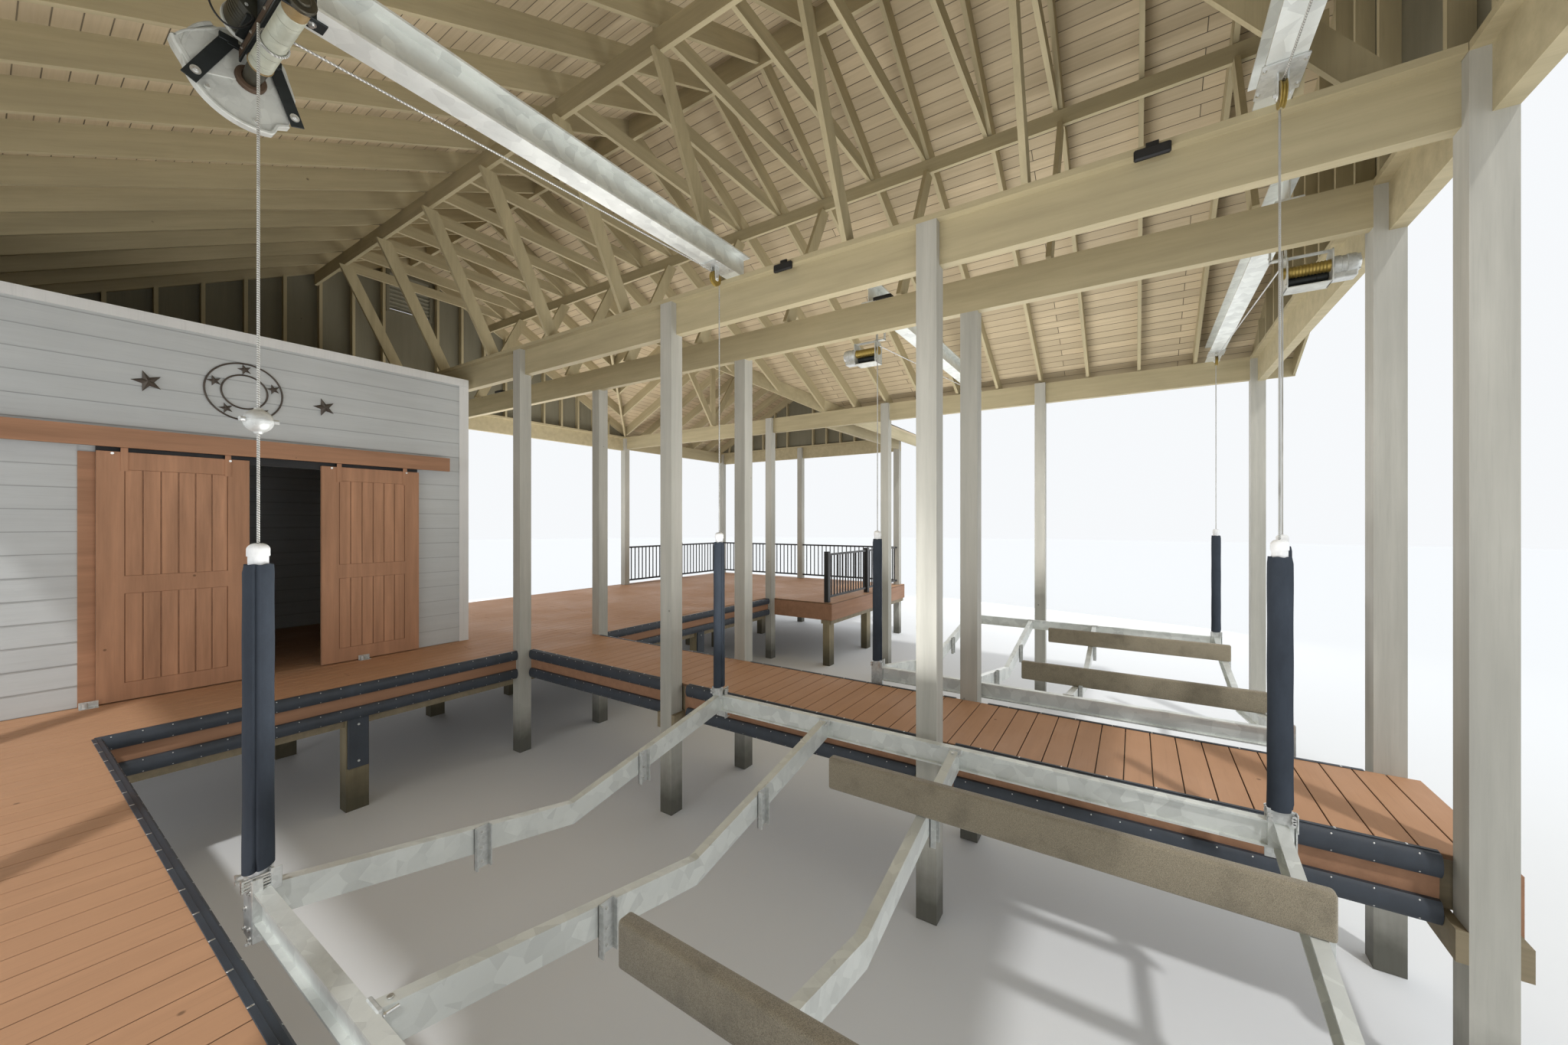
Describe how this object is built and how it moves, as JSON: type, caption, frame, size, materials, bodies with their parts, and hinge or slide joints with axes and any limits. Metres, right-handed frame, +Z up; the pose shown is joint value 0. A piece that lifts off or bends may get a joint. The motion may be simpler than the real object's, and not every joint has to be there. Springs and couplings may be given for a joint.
{
  "type": "boathouse",
  "caption": "Covered timber boathouse on piles: gable roof with a side wing over slips, walkways and decks, a store room with sliding doors, and cable boat lifts with cradles.",
  "frame": {"origin": "under the middle of the roof's outline, at the water line where the posts are cut off", "axes": "+Z up, +Y from the lake end to land along the slips, +X across the slips towards the wing"},
  "size_m": [13.7, 12.43, 7.3027],
  "materials": {
    "post_paint": "painted, satin",
    "treated_timber": "sawn",
    "fascia_brown": "stained",
    "bumper": "matt",
    "deck_board": "grained",
    "rail_paint": "matt",
    "frame_paint": "painted, matt",
    "roof_boards": "boards under roofing",
    "gable_paint": "painted, matt",
    "siding": "painted lap boards",
    "white_trim": "painted",
    "door_brown": "stained",
    "door_wood": "stained",
    "aluminium": "mill finish",
    "cable": "stranded",
    "carpet": "woven",
    "guide_cover": "matt"
  },
  "bodies": {
    "boathouse": {"posts": "post_paint", "dock_piles": "treated_timber", "pile_caps": "treated_timber", "joists": "treated_timber", "dock_fascia": "fascia_brown", "slip_bumpers": "bumper", "walkway_decks": "deck_board", "land_deck": "deck_board", "wing_deck": "deck_board", "wing_rail": "rail_paint", "beams": "frame_paint", "wing_beams": "frame_paint", "beam_caps": "frame_paint", "main_rafters": "frame_paint", "ridge_boards": "frame_paint", "purlins": "frame_paint", "collar_ties": "frame_paint", "struts": "frame_paint", "valley_rafters": "frame_paint", "wing_rafters": "frame_paint", "near_roof": "roof_boards", "far_roof": "roof_boards", "wing_lake_roof": "roof_boards", "wing_land_roof": "roof_boards", "roof_fascia": "frame_paint", "gable_walls": "gable_paint", "gable_studs": "frame_paint", "store_front": "siding", "store_lintel": "siding", "store_walls": "siding", "store_ceiling": "frame_paint", "store_trim": "white_trim", "door_frame": "door_brown", "hoist_beams": "aluminium", "hoist_gear": "aluminium", "cable_runs": "cable", "cables_a": "cable", "cables_b": "cable"},
    "left_leaf": {"left_door": "door_wood"},
    "right_leaf": {"right_door": "door_wood"},
    "lift_a": {"cradle_a": "aluminium", "bunks_a": "carpet", "guides_a": "guide_cover"},
    "lift_b": {"cradle_b": "aluminium", "bunks_b": "carpet", "guides_b": "guide_cover"}
  },
  "joints": [
    {"name": "left_door_slide", "type": "slide", "parent": "boathouse", "child": "left_leaf", "axis": [1, 0, 0], "range_m": [-0.88, 0]},
    {"name": "right_door_slide", "type": "slide", "parent": "boathouse", "child": "right_leaf", "axis": [1, 0, 0], "range_m": [-0.54, 0.3]},
    {"name": "lift_a_hoist", "type": "slide", "parent": "boathouse", "child": "lift_a", "axis": [0, 0, 1], "range_m": [-0.82, 1.2], "deforming": ["cables_a"]},
    {"name": "lift_b_hoist", "type": "slide", "parent": "boathouse", "child": "lift_b", "axis": [0, 0, 1], "range_m": [-0.82, 1.2], "deforming": ["cables_b"]}
  ]
}
